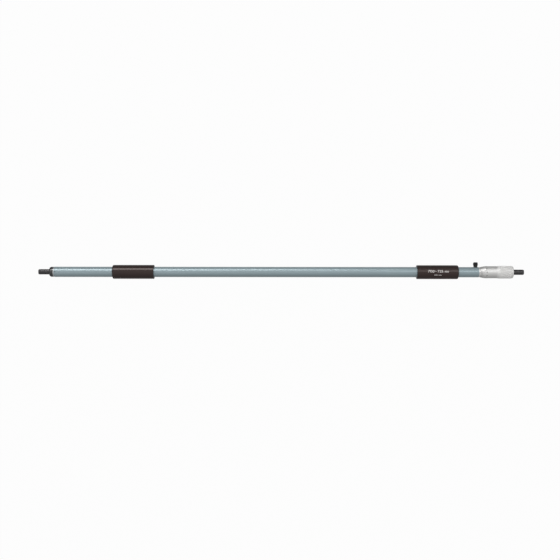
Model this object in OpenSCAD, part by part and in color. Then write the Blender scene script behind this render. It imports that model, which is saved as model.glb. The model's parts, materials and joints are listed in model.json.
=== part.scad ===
// Tubular inside micrometer with a screw head at one end.
// X runs along the measuring axis, from the fixed measuring face to the spindle's face.
// It lies on its two grips, with the head of the clamp screw touching the same surface.

/* [Measuring range] */
// Distance between the two measuring faces with the thimble at zero
measuring_length = 700; // [400:5:1000]
// How far the spindle feeds out
spindle_travel = 25; // [13:1:25]

/* [Tube] */
// Outside diameter of the tube
tube_d = 14.7; // [14.4:0.1:17]
// Wall of the tube
tube_wall = 1.5; // [1:0.1:1.8]

/* [Grips] */
// Outside diameter of each insulating grip
grip_d = 20; // [18:0.5:26]
// Length of each grip
grip_length = 59.5; // [40:0.5:90]
// Front end of the tube to the front grip
front_grip_inset = 84; // [60:0.1:110]
// Rear grip to the rear end of the tube
rear_grip_inset = 29.5; // [15:0.5:60]
// Rounding of the outer end of each grip
grip_rounding = 1.6; // [0.5:0.1:1.8]
// Bevel of the inner end of each grip
grip_bevel = 0.25; // [0.1:0.05:0.6]

/* [Fixed anvil] */
// Diameter of both anvils
anvil_d = 7.6; // [7:0.1:8.5]
// Fixed measuring face to the lock nut
fixed_anvil_reach = 16.1; // [10:0.1:25]
// Length of the bevel on the nose of an anvil
nose_bevel_length = 1.4; // [0.4:0.1:2]
// Depth of the bevel on the nose of an anvil
nose_bevel_depth = 0.35; // [0.1:0.05:0.6]
// Diameter of the fixed anvil's threaded shank
shank_d = 6; // [5:0.5:6.5]
// Length of the shank's thread inside the holder
shank_grip = 18; // [10:1:22]
// Gap between the anvil's shoulder and the lock nut
shoulder_gap = 0.2; // [0.1:0.05:0.5]

/* [Carbide tips] */
// Diameter of a carbide tip
tip_d = 5.2; // [4:0.1:5.6]
// Length of a carbide tip
tip_length = 3; // [2:0.1:4]
// How far a tip stands proud of its anvil
tip_proud = 0.3; // [0.25:0.05:0.6]
// Radius of the domed measuring face
face_radius = 20; // [18:1:200]

/* [Lock nut] */
// Diameter of the lock nut
lock_nut_d = 14.4; // [13.5:0.1:16]
// Length of the lock nut
lock_nut_length = 5.5; // [5:0.1:9]
// Radius of the lock nut's domed front
lock_nut_dome = 2.7; // [1:0.1:3.4]
// Width across the lock nut's two spanner flats
lock_nut_flats = 12; // [11:0.1:13]
// Rim left behind the spanner flats
lock_nut_rim = 1.2; // [0.6:0.1:2]
// Angle at which the tightened lock nut's flats stand
lock_nut_turn = 45; // [0:5:175]

/* [Anvil holder] */
// Diameter of the holder's collar
holder_collar_d = 14.4; // [13.5:0.1:16]
// Length of the holder's collar
holder_collar_length = 1.6; // [1:0.1:4]
// Depth of the holder's plug inside the tube
holder_depth = 30; // [26:1:50]
// Diameter of the pin that locks the holder in the tube
holder_pin_d = 1.4; // [1:0.1:2]
// Front end of the tube to the holder's pin
holder_pin_inset = 2; // [1.5:0.1:4]
// Depth of the holder's pin from the tube's surface
holder_pin_length = 3.2; // [2.4:0.1:3.6]

/* [Spindle] */
// Diameter of the spindle's ground guide
spindle_d = 6.35; // [5.5:0.05:6.6]
// Diameter of the spindle's thread
spindle_thread_d = 7; // [6.8:0.1:7.4]
// Diameter of the seat that carries the thimble
thimble_seat_d = 6; // [5.5:0.1:6.6]
// Diameter of the stud that carries the outer anvil
stud_d = 5; // [4:0.1:5.2]
// Length of the stud inside the outer anvil
stud_grip = 8; // [5:0.5:9]
// Guide left past the clamp when the spindle is fully out
spindle_tail = 10; // [6:1:20]
// Outer end of the cap to the spindle's measuring face
spindle_anvil_reach = 15.9; // [13:0.1:25]

/* [Spindle guide] */
// Depth of the guide inside the tube
guide_depth = 36.5; // [20:0.5:60]
// Length of the threaded nut at the guide's outer end
guide_nut_length = 14; // [12:0.5:15]
// Wall between the thread and the relief behind it
thread_relief = 0.2; // [0.1:0.05:0.4]
// Number of slits that let the nut be closed
slit_count = 3; // [2:1:4]
// Width of a slit
slit_width = 0.8; // [0.4:0.1:1.2]
// Length of a slit
slit_length = 20; // [16:1:24]

/* [Graduated sleeve] */
// Diameter of the sleeve's graduated barrel
sleeve_d = 13.5; // [13:0.1:14]
// Wall of the sleeve's barrel
sleeve_wall = 1.25; // [1:0.05:1.4]
// Diameter of the sleeve's collar
sleeve_collar_d = 14.4; // [14.1:0.1:15.5]
// Length of the sleeve's collar
sleeve_collar_length = 2.2; // [1:0.1:4]
// Barrel left inside the thimble when the spindle is fully out
sleeve_overlap = 4; // [2:0.5:4.5]
// Diameter of the hole for the zero-setting spanner
spanner_hole_d = 1.2; // [0.8:0.1:1.6]
// Thimble's edge at zero to the spanner's hole
spanner_hole_inset = 3; // [1.5:0.5:10]
// Depth of the hole for the zero-setting spanner
spanner_hole_depth = 0.7; // [0.4:0.1:0.9]

/* [Adjusting nut] */
// Diameter of the adjusting nut
adjusting_nut_d = 13; // [12.4:0.1:13.4]
// Length of the adjusting nut
adjusting_nut_length = 7; // [5:0.5:7.5]
// Number of spanner slots in the adjusting nut
adjusting_slots = 4; // [2:1:6]
// Width and length of a spanner slot
adjusting_slot = 1.6; // [1:0.1:2.4]

/* [Thimble] */
// Diameter of the thimble's smooth part
thimble_d = 17.3; // [16.5:0.1:18.5]
// Length of the thimble from its edge to the cap
thimble_length = 44.5; // [44:0.5:60]
// Length of the bevel that carries the graduations
bevel_length = 6.4; // [4:0.1:10]
// Wall left at the thimble's edge
edge_wall = 0.4; // [0.2:0.05:0.6]
// End wall of the thimble, seated on the spindle
thimble_end_wall = 5.5; // [3:0.5:6.5]
// Length of the knurled band
knurl_length = 21.2; // [15:0.1:26]
// Height of the knurl above the smooth part
knurl_rise = 0.4; // [0.4:0.05:1]
// Depth of a knurl groove
knurl_depth = 0.35; // [0.2:0.05:0.38]
// Number of knurl teeth
knurl_teeth = 72; // [48:4:90]
// Length of the knurl's lead-in
knurl_lead = 4.5; // [1:0.1:6]
// Bevel at the end of the knurl, past the depth of its grooves
knurl_bevel = 0.5; // [0.42:0.02:0.7]

/* [Thimble cap] */
// Length of the cap
cap_length = 2.6; // [2:0.1:4]
// Bevel of the cap
cap_bevel = 0.9; // [0.3:0.1:1.4]

/* [Clamp] */
// Clamp screw to the rear end of the tube
clamp_inset = 4.1; // [4:0.1:8]
// Diameter of the clamp screw's thread
clamp_thread_d = 4; // [3:0.5:4]
// Height of the clamp knob above the tube
knob_height = 7; // [6:0.1:10]
// Diameter of the clamp knob
knob_d = 6.7; // [6.4:0.1:9]
// Length of the knob's head
knob_head = 4.4; // [3.5:0.1:5]
// Rounding of the knob's top
knob_rounding = 1.2; // [0.4:0.1:1.6]
// Diameter of the knob's neck
neck_d = 5.6; // [5:0.1:6]
// Length of the taper from head to neck
knob_taper = 1; // [0.5:0.1:1.4]
// Number of knurl teeth around the knob
knob_teeth = 40; // [24:4:48]
// Depth of the knob's knurl
knob_knurl_depth = 0.2; // [0.1:0.05:0.3]
// Thickness of the clamp shoe at its middle
shoe_thickness = 0.9; // [0.6:0.1:1.2]
// How far the shoe moves to hold the spindle
clamp_travel = 0.25; // [0.15:0.05:0.4]

/* [Fits] */
// Radial gap of a fixed or pressed fit
press_gap = 0.02; // [0.01:0.01:0.05]
// Radial gap of a screw thread
thread_gap = 0.05; // [0.03:0.01:0.08]
// Radial gap of the spindle in its guide
guide_gap = 0.025; // [0.015:0.005:0.05]
// Radial gap between the thimble and the sleeve
thimble_gap = 0.2; // [0.15:0.05:0.3]
// Gap between the thimble's edge and the sleeve's collar at zero
edge_gap = 0.3; // [0.2:0.05:0.6]
// Gap between the inner end of the thimble and the guide at zero
end_gap = 1; // [0.4:0.1:1.5]
// Gap of the knob's neck in the tube
neck_gap = 0.15; // [0.1:0.05:0.3]
// Gap left at the shoe
shoe_gap = 0.08; // [0.05:0.01:0.1]

/* [Hidden] */

// Smoothness of round surfaces, small edge break, run-out of a bore and overshoot of a cut
$fn = 96;
edge_break = 0.3;
run_out = 1;
cut = 1;

// Radii
tube_r = tube_d / 2;
tube_bore_r = tube_r - tube_wall;
grip_r = grip_d / 2;
anvil_r = anvil_d / 2;
shank_r = shank_d / 2;
tip_r = tip_d / 2;
lock_nut_r = lock_nut_d / 2;
spindle_r = spindle_d / 2;
spindle_thread_r = spindle_thread_d / 2;
thimble_seat_r = thimble_seat_d / 2;
stud_r = stud_d / 2;
sleeve_r = sleeve_d / 2;
spigot_r = sleeve_r - sleeve_wall;
thimble_r = thimble_d / 2;
thimble_bore_r = sleeve_r + thimble_gap;
knurl_r = thimble_r + knurl_rise;
knurl_root_r = knurl_r - knurl_depth;
knob_r = knob_d / 2;
knob_root_r = knob_r - knob_knurl_depth;
neck_r = neck_d / 2;
clamp_thread_r = clamp_thread_d / 2;
shoe_r = clamp_thread_r - shoe_gap;

// Stations along the measuring axis from the fixed face
lock_nut_x = fixed_anvil_reach;
collar_x = lock_nut_x + lock_nut_length;
tube_front_x = collar_x + holder_collar_length;
front_grip_x = tube_front_x + front_grip_inset;
holder_pin_x = tube_front_x + holder_pin_inset;
shank_end_x = collar_x + shank_grip;

// Stations along the measuring axis back from the spindle's face
cap_end_x = measuring_length - spindle_anvil_reach;
cap_x = cap_end_x - cap_length;
thimble_wall_x = cap_x - thimble_end_wall;
knurl_x = cap_x - knurl_length;
thimble_edge_x = cap_x - thimble_length;
sleeve_x = thimble_edge_x - edge_gap;
tube_rear_x = sleeve_x - sleeve_collar_length;
rear_grip_x = tube_rear_x - rear_grip_inset;
clamp_x = tube_rear_x - clamp_inset;
guide_x = tube_rear_x - guide_depth;
guide_end_x = thimble_wall_x - end_gap;
guide_nut_x = guide_end_x - guide_nut_length;
spindle_thread_x = guide_nut_x - spindle_travel;
sleeve_end_x = thimble_edge_x + spindle_travel + sleeve_overlap;
adjusting_nut_end_x = guide_end_x - edge_break;
spindle_tail_x = clamp_x - spindle_travel - spindle_tail;
stud_end_x = cap_end_x + stud_grip;

// Stations along the clamp screw, outward from the measuring axis
knob_top = tube_r + knob_height;
knob_shoulder = knob_top - knob_head;
neck_base = tube_bore_r + clamp_travel + 2 * shoe_gap;
shoe_base = spindle_r + shoe_gap + clamp_travel;
shoe_top = shoe_base + shoe_thickness;
screw_end = shoe_top + shoe_gap;

// Angle of the clamp screw below the horizontal, at which its knob meets the surface under the grips
rest_arm = knob_top - knob_rounding;
rest_rim = knob_root_r - knob_rounding;
rest_angle = asin((grip_r - knob_rounding) / norm([rest_arm, rest_rim])) - atan2(rest_rim, rest_arm);

// Lays a piece, drawn with the clamp screw upright, on its grips and clamp knob
module lay() {
    rotate([-(90 + rest_angle), 0, 0])
        children();
}

// Turns a profile of radius and station about the measuring axis
module lathe() {
    rotate([0, 90, 0])
        rotate_extrude()
            children();
}

// A closed ring of teeth with V grooves, one tooth on the first axis
module toothed_outline(teeth, tip, root) {
    polygon([
        for (i = [0 : 2 * teeth - 1])
            let (reach = i % 2 == 0 ? tip : root, angle = 180 * i / teeth)
                [reach * cos(angle), reach * sin(angle)]
    ]);
}

// The corner of a profile that a rounding takes away, at the end of a bar
module rounded_corner(r, rounding) {
    difference() {
        translate([r - rounding, -cut])
            square([rounding + cut, rounding + cut]);
        translate([r - rounding, rounding])
            circle(rounding);
    }
}

// The tube that sets the measuring length
module measuring_tube() {
    color([0.53, 0.59, 0.61])
        lay()
            difference() {
                lathe()
                    polygon([
                        [tube_bore_r, tube_front_x],
                        [tube_r - edge_break, tube_front_x],
                        [tube_r, tube_front_x + edge_break],
                        [tube_r, tube_rear_x - edge_break],
                        [tube_r - edge_break, tube_rear_x],
                        [tube_bore_r, tube_rear_x]
                    ]);
                holder_pin_hole();
                translate([clamp_x, 0, 0])
                    cylinder(h = tube_r + cut, r = neck_r + neck_gap);
            }
}

// The cross hole that takes the holder's pin
module holder_pin_hole() {
    translate([holder_pin_x, 0, 0])
        rotate([90, 0, 0])
            translate([0, 0, tube_r - holder_pin_length])
                cylinder(h = holder_pin_length + cut, d = holder_pin_d + 2 * press_gap);
}

// One insulating grip, with its rounded end at the origin
module grip() {
    lathe()
        difference() {
            polygon([
                [tube_r + press_gap, 0],
                [grip_r, 0],
                [grip_r, grip_length - grip_bevel],
                [grip_r - grip_bevel, grip_length],
                [tube_r + press_gap, grip_length]
            ]);
            rounded_corner(grip_r, grip_rounding);
        }
}

module front_grip() {
    color([0.2, 0.17, 0.16])
        lay()
            translate([front_grip_x, 0, 0])
                grip();
}

module rear_grip() {
    color([0.2, 0.17, 0.16])
        lay()
            translate([rear_grip_x, 0, 0])
                mirror([1, 0, 0])
                    grip();
}

// The plug that closes the front of the tube and holds the fixed anvil
module anvil_holder() {
    plug_r = tube_bore_r - press_gap;
    plug_end_x = tube_front_x + holder_depth;
    bore_r = shank_r + thread_gap;
    bore_end_x = shank_end_x + run_out;
    color([0.66, 0.69, 0.7])
        lay()
            difference() {
                lathe()
                    polygon([
                        [0, bore_end_x],
                        [bore_r, bore_end_x],
                        [bore_r, collar_x],
                        [holder_collar_d / 2 - edge_break, collar_x],
                        [holder_collar_d / 2, collar_x + edge_break],
                        [holder_collar_d / 2, tube_front_x - edge_break],
                        [holder_collar_d / 2 - edge_break, tube_front_x],
                        [plug_r, tube_front_x],
                        [plug_r, plug_end_x - edge_break],
                        [plug_r - edge_break, plug_end_x],
                        [0, plug_end_x]
                    ]);
                holder_pin_hole();
            }
}

// The pin through the tube's wall into the holder
module holder_pin() {
    color([0.22, 0.23, 0.24])
        lay()
            translate([holder_pin_x, 0, 0])
                rotate([90, 0, 0])
                    translate([0, 0, tube_r - holder_pin_length])
                        cylinder(h = holder_pin_length - press_gap, d = holder_pin_d);
}

// The domed nut that locks the fixed anvil at its length
module anvil_lock_nut() {
    bore_r = shank_r + thread_gap;
    flat_length = lock_nut_length - lock_nut_rim;
    color([0.1, 0.1, 0.1])
        lay()
            translate([lock_nut_x, 0, 0])
                difference() {
                    lathe()
                        difference() {
                            polygon([
                                [bore_r, 0],
                                [lock_nut_r, 0],
                                [lock_nut_r, lock_nut_length - edge_break],
                                [lock_nut_r - edge_break, lock_nut_length],
                                [bore_r, lock_nut_length]
                            ]);
                            rounded_corner(lock_nut_r, lock_nut_dome);
                        }
                    for (side = [-1, 1])
                        rotate([lock_nut_turn, 0, 0])
                            translate([-cut, side * lock_nut_r - lock_nut_r, -lock_nut_r])
                                translate([0, side * lock_nut_flats / 2, 0])
                                    cube([flat_length + cut, 2 * lock_nut_r, 2 * lock_nut_r]);
                }
}

// The fixed anvil: a bevelled nose and a threaded shank
module fixed_anvil() {
    shoulder_x = lock_nut_x - shoulder_gap;
    color([0.24, 0.23, 0.235])
        lay()
            lathe()
                polygon([
                    [0, tip_length],
                    [tip_r + press_gap, tip_length],
                    [tip_r + press_gap, tip_proud],
                    [anvil_r - nose_bevel_depth, tip_proud],
                    [anvil_r, tip_proud + nose_bevel_length],
                    [anvil_r, shoulder_x],
                    [shank_r, shoulder_x],
                    [shank_r, shank_end_x - edge_break],
                    [shank_r - edge_break, shank_end_x],
                    [0, shank_end_x]
                ]);
}

// A carbide tip with its domed face at the origin, running along the axis
module carbide_tip() {
    lathe()
        intersection() {
            square([tip_r, tip_length]);
            translate([0, face_radius])
                circle(face_radius);
        }
}

module fixed_anvil_tip() {
    color([0.42, 0.42, 0.43])
        lay()
            carbide_tip();
}

module spindle_anvil_tip() {
    color([0.42, 0.42, 0.43])
        lay()
            translate([measuring_length, 0, 0])
                mirror([1, 0, 0])
                    carbide_tip();
}

// The guide fixed in the rear of the tube, with the spindle's bore and its slit nut
module spindle_guide() {
    seat_r = tube_bore_r - press_gap;
    bore_r = spindle_r + guide_gap;
    nut_bore_r = spindle_thread_r + thread_gap;
    relief_r = nut_bore_r + thread_relief;
    relief_x = spindle_thread_x - run_out;
    color([0.55, 0.56, 0.57])
        lay()
            difference() {
                lathe()
                    polygon([
                        [bore_r, guide_x],
                        [seat_r - edge_break, guide_x],
                        [seat_r, guide_x + edge_break],
                        [seat_r, tube_rear_x],
                        [spigot_r, tube_rear_x],
                        [spigot_r, guide_end_x - edge_break],
                        [spigot_r - edge_break, guide_end_x],
                        [nut_bore_r, guide_end_x],
                        [nut_bore_r, guide_nut_x],
                        [relief_r, guide_nut_x],
                        [relief_r, relief_x],
                        [bore_r, relief_x]
                    ]);
                translate([clamp_x, 0, 0])
                    cylinder(h = tube_r, r = clamp_thread_r + thread_gap);
                for (i = [0 : slit_count - 1])
                    rotate([360 * i / slit_count, 0, 0])
                        translate([guide_end_x - slit_length, -slit_width / 2, 0])
                            cube([slit_length + cut, slit_width, tube_r]);
            }
}

// The clamp screw: threaded end, neck, knurled head and smooth crown
module clamp_screw() {
    knurl_top = knob_top - knob_rounding;
    groove_r = knob_root_r - knob_knurl_depth / 2;
    bevel = 2 * knob_knurl_depth;
    color([0.12, 0.12, 0.12])
        lay()
            translate([clamp_x, 0, 0]) {
                rotate_extrude()
                    difference() {
                        polygon([
                            [0, screw_end],
                            [clamp_thread_r - edge_break, screw_end],
                            [clamp_thread_r, screw_end + edge_break],
                            [clamp_thread_r, neck_base],
                            [neck_r, neck_base],
                            [neck_r, knob_shoulder - knob_taper],
                            [knob_root_r, knob_shoulder],
                            [knob_root_r, knob_top],
                            [0, knob_top]
                        ]);
                        translate([0, knob_top])
                            mirror([0, 1])
                                rounded_corner(knob_root_r, knob_rounding);
                    }
                intersection() {
                    translate([0, 0, knob_shoulder])
                        linear_extrude(knurl_top - knob_shoulder)
                            toothed_outline(knob_teeth, knob_r, groove_r);
                    rotate_extrude()
                        polygon([
                            [0, knob_shoulder],
                            [groove_r, knob_shoulder],
                            [groove_r + bevel, knob_shoulder + bevel],
                            [groove_r + bevel, knurl_top - bevel],
                            [groove_r, knurl_top],
                            [0, knurl_top]
                        ]);
                }
            }
}

// The brass shoe between the clamp screw and the spindle
module clamp_shoe() {
    color([0.76, 0.6, 0.3])
        lay()
            translate([clamp_x, 0, 0])
                difference() {
                    cylinder(h = shoe_top, r = shoe_r);
                    translate([-shoe_r - cut, 0, 0])
                        rotate([0, 90, 0])
                            cylinder(h = 2 * (shoe_r + cut), r = shoe_base);
                }
}

// The graduated sleeve, a collar and a barrel turned in one
module graduated_sleeve() {
    bore_r = spigot_r + press_gap;
    color([0.8, 0.8, 0.79])
        lay()
            difference() {
                lathe()
                    polygon([
                        [bore_r, tube_rear_x],
                        [sleeve_collar_d / 2 - edge_break, tube_rear_x],
                        [sleeve_collar_d / 2, tube_rear_x + edge_break],
                        [sleeve_collar_d / 2, sleeve_x - edge_break],
                        [sleeve_collar_d / 2 - edge_break, sleeve_x],
                        [sleeve_r, sleeve_x],
                        [sleeve_r, sleeve_end_x - edge_break],
                        [sleeve_r - edge_break, sleeve_end_x],
                        [bore_r, sleeve_end_x]
                    ]);
                translate([thimble_edge_x + spanner_hole_inset, sleeve_r - spanner_hole_depth, 0])
                    rotate([-90, 0, 0])
                        cylinder(h = spanner_hole_depth + cut, d = spanner_hole_d);
            }
}

// The slotted nut that closes the slit end of the guide on the spindle's thread
module adjusting_nut() {
    bore_r = spigot_r + thread_gap;
    nut_r = adjusting_nut_d / 2;
    color([0.5, 0.5, 0.5])
        lay()
            translate([adjusting_nut_end_x, 0, 0])
                difference() {
                    lathe()
                        polygon([
                            [bore_r, -adjusting_nut_length],
                            [nut_r - edge_break, -adjusting_nut_length],
                            [nut_r, edge_break - adjusting_nut_length],
                            [nut_r, 0],
                            [bore_r, 0]
                        ]);
                    for (i = [0 : adjusting_slots - 1])
                        rotate([360 * (i + 0.5) / adjusting_slots, 0, 0])
                            translate([-adjusting_slot, -adjusting_slot / 2, bore_r - cut])
                                cube([adjusting_slot + cut, adjusting_slot, nut_r]);
                }
}

// The spindle: guide, thread, seat of the thimble and stud of the outer anvil
module spindle() {
    color([0.6, 0.61, 0.62])
        lay()
            lathe()
                polygon([
                    [0, spindle_tail_x],
                    [spindle_r - edge_break, spindle_tail_x],
                    [spindle_r, spindle_tail_x + edge_break],
                    [spindle_r, spindle_thread_x],
                    [spindle_thread_r - edge_break, spindle_thread_x],
                    [spindle_thread_r, spindle_thread_x + edge_break],
                    [spindle_thread_r, thimble_wall_x],
                    [thimble_seat_r, thimble_wall_x],
                    [thimble_seat_r, cap_x],
                    [stud_r, cap_x],
                    [stud_r, stud_end_x - edge_break],
                    [stud_r - edge_break, stud_end_x],
                    [0, stud_end_x]
                ]);
}

// The thimble: graduated bevel, smooth part and knurled band
module thimble() {
    edge_r = thimble_bore_r + edge_wall;
    seat_bore_r = thimble_seat_r + press_gap;
    color([0.86, 0.86, 0.85])
        lay()
            difference() {
                union() {
                    lathe()
                        polygon([
                            [0, thimble_edge_x],
                            [edge_r, thimble_edge_x],
                            [thimble_r, thimble_edge_x + bevel_length],
                            [thimble_r, knurl_x],
                            [0, knurl_x]
                        ]);
                    intersection() {
                        translate([knurl_x, 0, 0])
                            rotate([0, 90, 0])
                                linear_extrude(knurl_length)
                                    toothed_outline(knurl_teeth, knurl_r, knurl_root_r);
                        lathe()
                            polygon([
                                [0, knurl_x],
                                [thimble_r, knurl_x],
                                [knurl_r + knurl_rise, knurl_x + 2 * knurl_lead],
                                [knurl_r + knurl_rise, cap_x - knurl_bevel - knurl_rise],
                                [knurl_r - knurl_bevel, cap_x],
                                [0, cap_x]
                            ]);
                    }
                }
                lathe()
                    polygon([
                        [0, thimble_edge_x - cut],
                        [thimble_bore_r, thimble_edge_x - cut],
                        [thimble_bore_r, thimble_wall_x],
                        [seat_bore_r, thimble_wall_x],
                        [seat_bore_r, cap_x + cut],
                        [0, cap_x + cut]
                    ]);
            }
}

// The cap that holds the thimble on the spindle
module thimble_cap() {
    bore_r = stud_r + thread_gap;
    color([0.84, 0.84, 0.83])
        lay()
            lathe()
                polygon([
                    [bore_r, cap_x],
                    [knurl_root_r, cap_x],
                    [knurl_root_r, cap_end_x - cap_bevel],
                    [knurl_root_r - cap_bevel, cap_end_x],
                    [bore_r, cap_end_x]
                ]);
}

// The outer anvil, screwed on the spindle's stud against the cap
module spindle_anvil() {
    bore_r = stud_r + thread_gap;
    nose_x = measuring_length - tip_proud;
    pocket_x = measuring_length - tip_length;
    bore_end_x = stud_end_x + run_out;
    color([0.24, 0.23, 0.235])
        lay()
            lathe()
                polygon([
                    [0, bore_end_x],
                    [bore_r, bore_end_x],
                    [bore_r, cap_end_x],
                    [anvil_r, cap_end_x],
                    [anvil_r, nose_x - nose_bevel_length],
                    [anvil_r - nose_bevel_depth, nose_x],
                    [tip_r + press_gap, nose_x],
                    [tip_r + press_gap, pocket_x],
                    [0, pocket_x]
                ]);
}

measuring_tube();
front_grip();
rear_grip();
anvil_holder();
holder_pin();
anvil_lock_nut();
fixed_anvil();
fixed_anvil_tip();
spindle_guide();
clamp_screw();
clamp_shoe();
graduated_sleeve();
adjusting_nut();
spindle();
thimble();
thimble_cap();
spindle_anvil();
spindle_anvil_tip();
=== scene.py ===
# %% [markdown]
# # A tubular inside micrometer
# This lesson dresses a finished CAD model for a studio picture. The instrument is a long enamelled
# tube with two dark grips, a fixed anvil at one end and a screw head with a chromed thimble at the
# other. The CAD model is loaded first and is never moved, so that every surface made here already
# knows where it belongs.

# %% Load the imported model
import json

import bmesh
import bpy
import numpy as np
from mathutils import Matrix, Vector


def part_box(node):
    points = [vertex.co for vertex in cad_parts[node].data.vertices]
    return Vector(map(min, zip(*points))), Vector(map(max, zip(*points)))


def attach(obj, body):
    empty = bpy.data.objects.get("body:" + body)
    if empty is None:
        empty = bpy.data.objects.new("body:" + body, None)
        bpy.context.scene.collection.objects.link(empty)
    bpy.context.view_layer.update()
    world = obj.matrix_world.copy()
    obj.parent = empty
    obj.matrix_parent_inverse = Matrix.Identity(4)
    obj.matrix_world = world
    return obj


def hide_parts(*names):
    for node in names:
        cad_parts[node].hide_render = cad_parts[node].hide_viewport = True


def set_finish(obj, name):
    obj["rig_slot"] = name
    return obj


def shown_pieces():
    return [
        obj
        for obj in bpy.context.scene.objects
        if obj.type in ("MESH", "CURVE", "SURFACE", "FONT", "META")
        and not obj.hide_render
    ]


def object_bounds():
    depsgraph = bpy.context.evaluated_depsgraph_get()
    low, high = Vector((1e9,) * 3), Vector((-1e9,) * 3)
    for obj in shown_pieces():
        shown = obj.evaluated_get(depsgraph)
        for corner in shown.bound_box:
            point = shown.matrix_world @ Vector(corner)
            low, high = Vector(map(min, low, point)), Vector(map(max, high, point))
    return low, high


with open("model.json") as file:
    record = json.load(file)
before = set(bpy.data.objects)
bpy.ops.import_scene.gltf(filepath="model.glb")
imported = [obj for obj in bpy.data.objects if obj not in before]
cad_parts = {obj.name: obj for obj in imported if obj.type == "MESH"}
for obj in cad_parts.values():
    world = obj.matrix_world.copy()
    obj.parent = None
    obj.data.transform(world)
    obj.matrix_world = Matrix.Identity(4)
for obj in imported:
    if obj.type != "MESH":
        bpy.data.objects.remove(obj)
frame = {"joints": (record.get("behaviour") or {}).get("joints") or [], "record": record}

cad_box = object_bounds()

# %% [markdown]
# The measuring axis runs along X. The clamp knob stands out of the tube, and the camera looks at the
# tube square to both. These three directions are all that the lesson needs, and the clamp's joint in
# the record gives the second one, so that nothing is measured twice. Sizes are written in
# millimetres, and turned into Blender's metres when a mesh is made.

# %% Three directions and a unit
MM = 0.001
joints = {joint["name"]: joint for joint in frame["joints"]}
along = np.array([1.0, 0.0, 0.0])
knobward = -np.array(joints["clamp_press"]["axis"])
knobward /= np.linalg.norm(knobward)
facing = np.cross(along, knobward)


def around(angle, first=facing, second=knobward):
    """Directions square to an axis: cos a first + sin a second, for any array of angles a."""
    return np.cos(angle)[..., None] * first + np.sin(angle)[..., None] * second


def span(node):
    """First and last station of a CAD node on the measuring axis, in millimetres."""
    low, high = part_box(node)
    return low.x / MM, high.x / MM


print("towards the knob:", knobward.round(4), "towards the camera:", facing.round(4))

# %% [markdown]
# The picture is taken from far enough away that the long tube hardly shows perspective, with the knob
# at the top and the right end a hair low. A camera's own axes are its right, its up and its back, so
# its matrix can be written straight from the three directions instead of turning it by angles. Its
# distance is in metres, and the point that it looks at is in millimetres.

# %% Camera
VIEW_DISTANCE = 1.3
VIEW_CENTRE, VIEW_DROP = 348.35, 11.5
VIEW_ROLL = 0.001
LENS = 57.9


def placed(name, data):
    """A new object that shows some data, at the origin of the scene."""
    made = bpy.data.objects.new(name, data)
    bpy.context.scene.collection.objects.link(made)
    return made


def standing_at(position, right, up, back):
    """The matrix of something at a position, with its own x, y and z along the given directions."""
    matrix = np.eye(4)
    matrix[:3, :3] = np.column_stack([right, up, back])
    matrix[:3, 3] = position
    return Matrix(matrix.tolist())


camera = placed("camera", bpy.data.cameras.new("camera"))
camera.data.lens = LENS
view_point = (VIEW_CENTRE * along - VIEW_DROP * knobward) * MM + VIEW_DISTANCE * facing
rolled = [along + VIEW_ROLL * knobward, knobward - VIEW_ROLL * along]
camera.matrix_world = standing_at(view_point, *rolled, facing)
bpy.context.scene.camera = camera
print("camera at", view_point.round(3))

# %% [markdown]
# Nearly every piece of a micrometer comes off a lathe. A turned piece is an outline of stations and
# radii carried round an axis, and real edges are never razor sharp, so the outline's corners are
# rounded first. Adding a Bevel modifier would do the same later, but here each corner can have its
# own rounding. Three small ones serve most corners.

# %% Outlines with rounded corners
SUPPORT = 0.04
CRISP, SOFT, EASED = 0.05, 0.08, 0.1


def softened(corners, steps=6):
    """An open outline of (station, radius) from corners of (station, radius, rounding).

    The ends stay. At each corner P the outline leaves at S and comes back at E, one rounding away on
    either side, and follows the quarter turn P + (S - P)(1 - sin t) + (E - P)(1 - cos t). A point a
    little outside each end keeps smooth shading from spreading over the faces beside the corner.
    """
    corners = np.array(corners, float)
    point, rounding = corners[:, :2], corners[1:-1, 2:]
    corner = point[1:-1]
    back, ahead = point[:-2] - corner, point[2:] - corner
    back /= np.linalg.norm(back, axis=1, keepdims=True)
    ahead /= np.linalg.norm(ahead, axis=1, keepdims=True)
    turn = np.linspace(0, np.pi / 2, steps + 1)[None, :, None]
    leave, come = back[:, None] * rounding[:, None], ahead[:, None] * rounding[:, None]
    arc = corner[:, None] + leave * (1 - np.sin(turn)) + come * (1 - np.cos(turn))
    before = (corner + back * (rounding + SUPPORT))[:, None]
    after = (corner + ahead * (rounding + SUPPORT))[:, None]
    middle = np.concatenate([before, arc, after], axis=1).reshape(-1, 2)
    return np.concatenate([point[:1], middle, point[-1:]])


sample = softened([(0, 0, 0), (0, 1, 0.2), (2, 1, 0.2), (2, 0, 0)])
print("four corners become", len(sample), "points")

# %% [markdown]
# Two habits of the lathe come back in nearly every outline. The turner breaks each outer edge with a
# small bevel, and a bored piece has a mouth at both ends of its bore. Writing each once keeps the
# outlines below short enough to read.

# %% Broken edges and bores
BREAK = 0.3


def broken(end, radius, inward, rounding=SOFT):
    """Two corners of a bevel where a bar ends, in order along the axis; inward is 1 or -1."""
    corners = [(end, radius - BREAK, rounding), (end + inward * BREAK, radius, rounding)]
    return corners[::inward]


def bored(start, end, bore, mouth, outside, seam=1.0, steps=6):
    """The outline of a bored piece: half the bore, a mouth, the outside, a mouth, half the bore.

    It starts and stops inside the bore, a seam's length apart, and the skin closes that seam.
    """
    middle = (start + end) / 2
    first, last = [(middle, bore, 0), (start, bore, mouth)], [(end, bore, mouth), (middle + seam, bore, 0)]
    return softened(first + outside + last, steps)


print("a broken edge on a bar of radius 1:", broken(0, 1, 1))

# %% [markdown]
# A grid of points becomes a mesh when each square joins four neighbours. The columns of a turned
# piece run round and close. Its rows close as well if the piece has a bore, and meet on the axis if
# it has none. Points that fall together are merged, and then all faces are turned outwards.

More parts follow.
